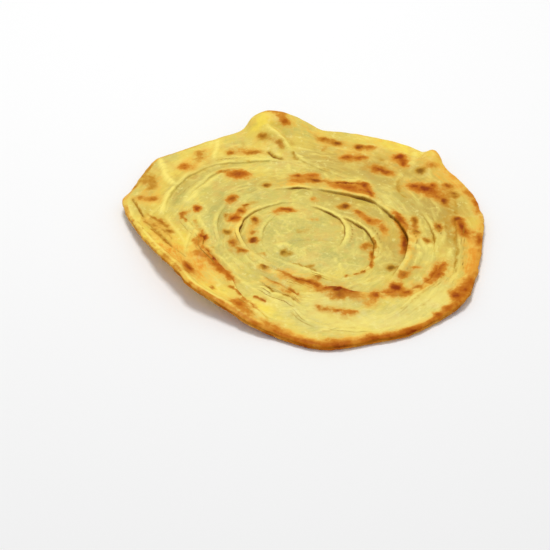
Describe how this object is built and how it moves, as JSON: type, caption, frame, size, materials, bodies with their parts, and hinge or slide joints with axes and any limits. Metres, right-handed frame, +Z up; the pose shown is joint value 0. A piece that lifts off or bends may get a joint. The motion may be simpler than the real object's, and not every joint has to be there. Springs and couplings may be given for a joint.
{
  "type": "paratha flatbread",
  "caption": "Round layered flatbread of coiled and rolled dough, with stepped spiral plies, an uneven curled rim and a flat foot to lie on.",
  "frame": {"origin": "on the resting plane, under the middle of the bread's extents", "axes": "+Z up out of the browned top face, -Y towards the side that faces the viewer, +X to the viewer's right"},
  "size_m": [0.204, 0.198, 0.0173],
  "materials": {
    "baked_dough": "oily, browned wheat dough"
  },
  "bodies": {
    "root": {"paratha": "baked_dough"}
  },
  "joints": []
}
